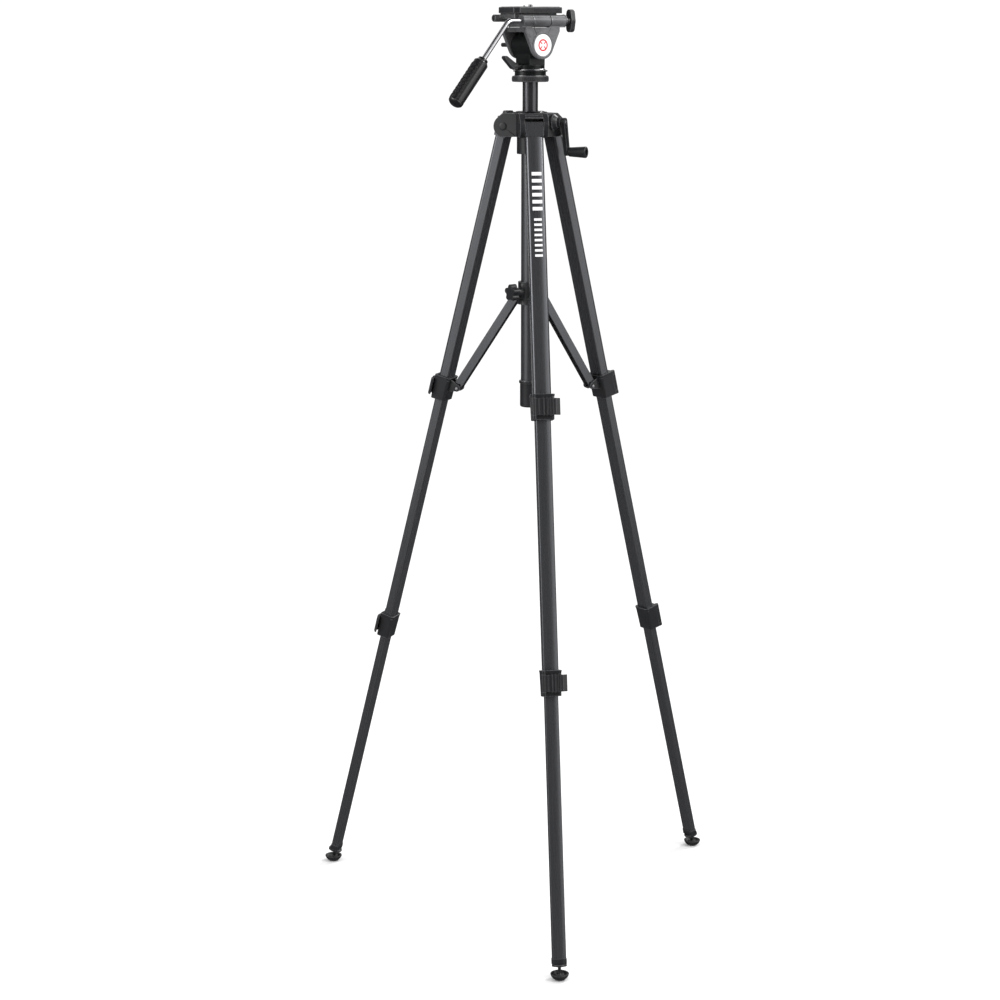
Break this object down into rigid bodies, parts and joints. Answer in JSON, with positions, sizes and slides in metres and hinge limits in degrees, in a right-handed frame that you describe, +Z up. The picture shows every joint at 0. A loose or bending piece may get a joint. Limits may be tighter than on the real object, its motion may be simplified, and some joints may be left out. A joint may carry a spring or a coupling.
{
  "type": "surveyor tripod",
  "caption": "Free-standing tripod with telescoping lever-clamped legs, a geared centre column, a mid-level spreader and a pan and tilt head with a handle and quick release plate.",
  "frame": {"origin": "on the ground, midway between the front foot and the two rear feet; the column axis stands a quarter of the foot circle's radius behind it", "axes": "+Z up along the centre column; -Y towards the front foot; +X to the right seen from the front"},
  "size_m": [0.6654, 0.58, 1.459],
  "materials": {
    "anodised_tube": "satin",
    "column_anodised": "satin",
    "moulded_plastic": "matte",
    "lever_plastic": "gloss",
    "head_casting": "satin",
    "plate_plastic": "matte",
    "rubber": "matte",
    "grip_rubber": "satin",
    "steel": "satin",
    "chrome": "polished",
    "badge_white": "gloss",
    "level_glass": "gloss"
  },
  "bodies": {
    "crown": {"crown": "head_casting", "leg_hinge_pins": "steel", "bubble_level": "level_glass", "column_bush": "moulded_plastic", "guide_tube": "anodised_tube", "guide_tube_cap": "moulded_plastic"},
    "leg_a_upper": {"leg_a_top_fitting": "moulded_plastic", "leg_a_upper_tube": "anodised_tube", "leg_a_upper_clamp": "moulded_plastic"},
    "leg_a_upper_lever": {"leg_a_upper_lever": "lever_plastic"},
    "leg_a_middle": {"leg_a_middle_tube": "anodised_tube", "leg_a_lower_clamp": "moulded_plastic"},
    "leg_a_lower_lever": {"leg_a_lower_lever": "lever_plastic"},
    "leg_a_lower": {"leg_a_lower_tube": "anodised_tube", "leg_a_foot_plug": "moulded_plastic"},
    "leg_a_foot": {"leg_a_foot_pad": "rubber"},
    "brace_a": {"brace_a": "anodised_tube"},
    "leg_b_upper": {"leg_b_top_fitting": "moulded_plastic", "leg_b_upper_tube": "anodised_tube", "leg_b_upper_clamp": "moulded_plastic"},
    "leg_b_upper_lever": {"leg_b_upper_lever": "lever_plastic"},
    "leg_b_middle": {"leg_b_middle_tube": "anodised_tube", "leg_b_lower_clamp": "moulded_plastic"},
    "leg_b_lower_lever": {"leg_b_lower_lever": "lever_plastic"},
    "leg_b_lower": {"leg_b_lower_tube": "anodised_tube", "leg_b_foot_plug": "moulded_plastic"},
    "leg_b_foot": {"leg_b_foot_pad": "rubber"},
    "brace_b": {"brace_b": "anodised_tube"},
    "leg_c_upper": {"leg_c_top_fitting": "moulded_plastic", "leg_c_upper_tube": "anodised_tube", "leg_c_upper_clamp": "moulded_plastic"},
    "leg_c_upper_lever": {"leg_c_upper_lever": "lever_plastic"},
    "leg_c_middle": {"leg_c_middle_tube": "anodised_tube", "leg_c_lower_clamp": "moulded_plastic"},
    "leg_c_lower_lever": {"leg_c_lower_lever": "lever_plastic"},
    "leg_c_lower": {"leg_c_lower_tube": "anodised_tube", "leg_c_foot_plug": "moulded_plastic"},
    "leg_c_foot": {"leg_c_foot_pad": "rubber"},
    "brace_c": {"brace_c": "anodised_tube"},
    "hub": {"brace_hub": "moulded_plastic"},
    "hub_knob": {"brace_lock_knob": "moulded_plastic"},
    "column": {"centre_column": "column_anodised", "pan_base": "head_casting"},
    "crank": {"elevator_pinion": "steel", "crank_arm": "moulded_plastic"},
    "crank_knob": {"crank_knob": "moulded_plastic"},
    "column_lock": {"column_lock_knob": "moulded_plastic"},
    "pan": {"pan_body": "head_casting"},
    "pan_lock": {"pan_lock_lever": "moulded_plastic"},
    "tilt": {"tilt_body": "head_casting", "tilt_axle": "badge_white", "handle_rod": "chrome", "handle_grip": "grip_rubber"},
    "tilt_lock": {"tilt_lock_knob": "moulded_plastic"},
    "flip": {"flip_platform": "head_casting"},
    "flip_lock": {"flip_lock_knob": "moulded_plastic"},
    "quick_plate": {"quick_release_plate": "plate_plastic"},
    "release": {"release_lever": "moulded_plastic"},
    "camera_screw": {"camera_screw": "steel"},
    "steady_pin": {"steady_pin": "steel"}
  },
  "joints": [
    {"name": "leg_a_fold", "type": "hinge", "parent": "crown", "child": "leg_a_upper", "pos_m": [0, 0.05493, 1.272], "axis": [1, 0, 0], "range_deg": [0, 12.5]},
    {"name": "leg_b_fold", "type": "hinge", "parent": "crown", "child": "leg_b_upper", "pos_m": [0.03204, 0.11043, 1.272], "axis": [-0.5, 0.866, 0], "range_deg": [0, 12.5]},
    {"name": "leg_c_fold", "type": "hinge", "parent": "crown", "child": "leg_c_upper", "pos_m": [-0.03204, 0.11043, 1.272], "axis": [-0.5, -0.866, 0], "range_deg": [0, 12.5]},
    {"name": "hub_rise", "type": "slide", "parent": "crown", "child": "hub", "axis": [0, 0, 1], "range_m": [0, 0.02146]},
    {"name": "brace_a_swing", "type": "hinge", "parent": "hub", "child": "brace_a", "pos_m": [0, 0.06693, 0.9972], "axis": [1, 0, 0], "range_deg": [0, 32.15]},
    {"name": "brace_b_swing", "type": "hinge", "parent": "hub", "child": "brace_b", "pos_m": [0.02165, 0.10443, 0.9972], "axis": [-0.5, 0.866, 0], "range_deg": [0, 32.15]},
    {"name": "brace_c_swing", "type": "hinge", "parent": "hub", "child": "brace_c", "pos_m": [-0.02165, 0.10443, 0.9972], "axis": [-0.5, -0.866, 0], "range_deg": [0, 32.15]},
    {"name": "brace_lock", "type": "hinge", "parent": "hub", "child": "hub_knob", "pos_m": [-0.02468, 0.07768, 1.012], "axis": [-0.866, -0.5, 0], "range_deg": [0, 180]},
    {"name": "leg_a_upper_draw", "type": "slide", "parent": "leg_a_upper", "child": "leg_a_middle", "axis": [0, 0.2489, 0.9685], "range_m": [0, 0.345]},
    {"name": "leg_a_lower_draw", "type": "slide", "parent": "leg_a_middle", "child": "leg_a_lower", "axis": [0, 0.2489, 0.9685], "range_m": [0, 0.385]},
    {"name": "leg_b_upper_draw", "type": "slide", "parent": "leg_b_upper", "child": "leg_b_middle", "axis": [-0.2155, -0.1244, 0.9685], "range_m": [0, 0.345]},
    {"name": "leg_b_lower_draw", "type": "slide", "parent": "leg_b_middle", "child": "leg_b_lower", "axis": [-0.2155, -0.1244, 0.9685], "range_m": [0, 0.385]},
    {"name": "leg_c_upper_draw", "type": "slide", "parent": "leg_c_upper", "child": "leg_c_middle", "axis": [0.2155, -0.1244, 0.9685], "range_m": [0, 0.345]},
    {"name": "leg_c_lower_draw", "type": "slide", "parent": "leg_c_middle", "child": "leg_c_lower", "axis": [0.2155, -0.1244, 0.9685], "range_m": [0, 0.385]},
    {"name": "leg_a_upper_flip", "type": "hinge", "parent": "leg_a_upper", "child": "leg_a_upper_lever", "pos_m": [-0.01465, -0.07335, 0.85273], "axis": [0, -0.2489, -0.9685], "range_deg": [0, 110]},
    {"name": "leg_a_lower_flip", "type": "hinge", "parent": "leg_a_middle", "child": "leg_a_lower_lever", "pos_m": [-0.0126, -0.17747, 0.44068], "axis": [0, -0.2489, -0.9685], "range_deg": [0, 110]},
    {"name": "leg_b_upper_flip", "type": "hinge", "parent": "leg_b_upper", "child": "leg_b_upper_lever", "pos_m": [0.15046, 0.16188, 0.85273], "axis": [0.2155, 0.1244, -0.9685], "range_deg": [0, 110]},
    {"name": "leg_b_lower_flip", "type": "hinge", "parent": "leg_b_middle", "child": "leg_b_lower_lever", "pos_m": [0.2396, 0.21571, 0.44068], "axis": [0.2155, 0.1244, -0.9685], "range_deg": [0, 110]},
    {"name": "leg_c_upper_flip", "type": "hinge", "parent": "leg_c_upper", "child": "leg_c_upper_lever", "pos_m": [-0.13581, 0.18725, 0.85273], "axis": [-0.2155, 0.1244, -0.9685], "range_deg": [0, 110]},
    {"name": "leg_c_lower_flip", "type": "hinge", "parent": "leg_c_middle", "child": "leg_c_lower_lever", "pos_m": [-0.227, 0.23754, 0.44068], "axis": [-0.2155, 0.1244, -0.9685], "range_deg": [0, 110]},
    {"name": "leg_a_foot_swivel", "type": "hinge", "parent": "leg_a_lower", "child": "leg_a_foot", "pos_m": [0, -0.27578, 0.0062], "axis": [1, 0, 0], "range_deg": [-30, 8]},
    {"name": "leg_b_foot_swivel", "type": "hinge", "parent": "leg_b_lower", "child": "leg_b_foot", "pos_m": [0.31845, 0.27578, 0.0062], "axis": [-0.5, 0.866, 0], "range_deg": [-30, 8]},
    {"name": "leg_c_foot_swivel", "type": "hinge", "parent": "leg_c_lower", "child": "leg_c_foot", "pos_m": [-0.31845, 0.27578, 0.0062], "axis": [-0.5, -0.866, 0], "range_deg": [-30, 8]},
    {"name": "column_rise", "type": "slide", "parent": "crown", "child": "column", "axis": [0, 0, 1], "range_m": [-0.044, 0.286]},
    {"name": "crank_turn", "type": "hinge", "parent": "crown", "child": "crank", "pos_m": [0.0081, 0.10596, 1.278], "axis": [0.866, -0.5, 0], "range_deg": [-2733, 422]},
    {"name": "crank_knob_spin", "type": "hinge", "parent": "crank", "child": "crank_knob", "pos_m": [0.06108, 0.08972, 1.23164], "axis": [0.866, -0.5, 0], "continuous": true},
    {"name": "column_lock", "type": "hinge", "parent": "crown", "child": "column_lock", "pos_m": [0, 0.11693, 1.243], "axis": [0, 1, 0], "range_deg": [0, 180]},
    {"name": "pan", "type": "hinge", "parent": "column", "child": "pan", "pos_m": [0, 0.09193, 1.35], "axis": [0, 0, 1], "continuous": true},
    {"name": "pan_lock", "type": "hinge", "parent": "pan", "child": "pan_lock", "pos_m": [-0.02314, 0.07802, 1.3646], "axis": [-0.8572, -0.515, 0], "range_deg": [0, 120]},
    {"name": "tilt", "type": "hinge", "parent": "pan", "child": "tilt", "pos_m": [0, 0.09193, 1.397], "axis": [-0.515, 0.8572, 0], "range_deg": [-30, 75]},
    {"name": "tilt_lock", "type": "hinge", "parent": "tilt", "child": "tilt_lock", "pos_m": [-0.01597, 0.1185, 1.397], "axis": [-0.515, 0.8572, 0], "range_deg": [0, 180]},
    {"name": "flip", "type": "hinge", "parent": "tilt", "child": "flip", "pos_m": [0.01391, 0.06878, 1.434], "axis": [0.8572, 0.515, 0], "range_deg": [0, 90]},
    {"name": "flip_lock", "type": "hinge", "parent": "tilt", "child": "flip_lock", "pos_m": [0.06062, 0.09685, 1.434], "axis": [0.8572, 0.515, 0], "range_deg": [0, 180]},
    {"name": "plate_lift", "type": "slide", "parent": "flip", "child": "quick_plate", "axis": [0, 0, 1], "range_m": [0, 0.016]},
    {"name": "plate_release", "type": "hinge", "parent": "flip", "child": "release", "pos_m": [-0.02611, 0.1082, 1.437], "axis": [0, 0, 1], "range_deg": [0, 45]},
    {"name": "screw_turn", "type": "hinge", "parent": "quick_plate", "child": "camera_screw", "pos_m": [0, 0.09193, 1.455], "axis": [0, 0, 1], "continuous": true},
    {"name": "pin_press", "type": "slide", "parent": "quick_plate", "child": "steady_pin", "axis": [0, 0, -1], "range_m": [0, 0.0024], "stiffness_N_per_m": 200, "springref_m": -0.001}
  ],
  "couplings": [
    {"joint": "leg_b_fold", "follows": "leg_a_fold", "ratio": 1},
    {"joint": "leg_c_fold", "follows": "leg_a_fold", "ratio": 1},
    {"joint": "hub_rise", "follows": "leg_a_fold", "m_per_rad": 0.097457},
    {"joint": "brace_a_swing", "follows": "leg_a_fold", "ratio": 2.5636},
    {"joint": "brace_b_swing", "follows": "leg_a_fold", "ratio": 2.5636},
    {"joint": "brace_c_swing", "follows": "leg_a_fold", "ratio": 2.5636},
    {"joint": "crank_turn", "follows": "column_rise", "rad_per_m": -166.67}
  ]
}
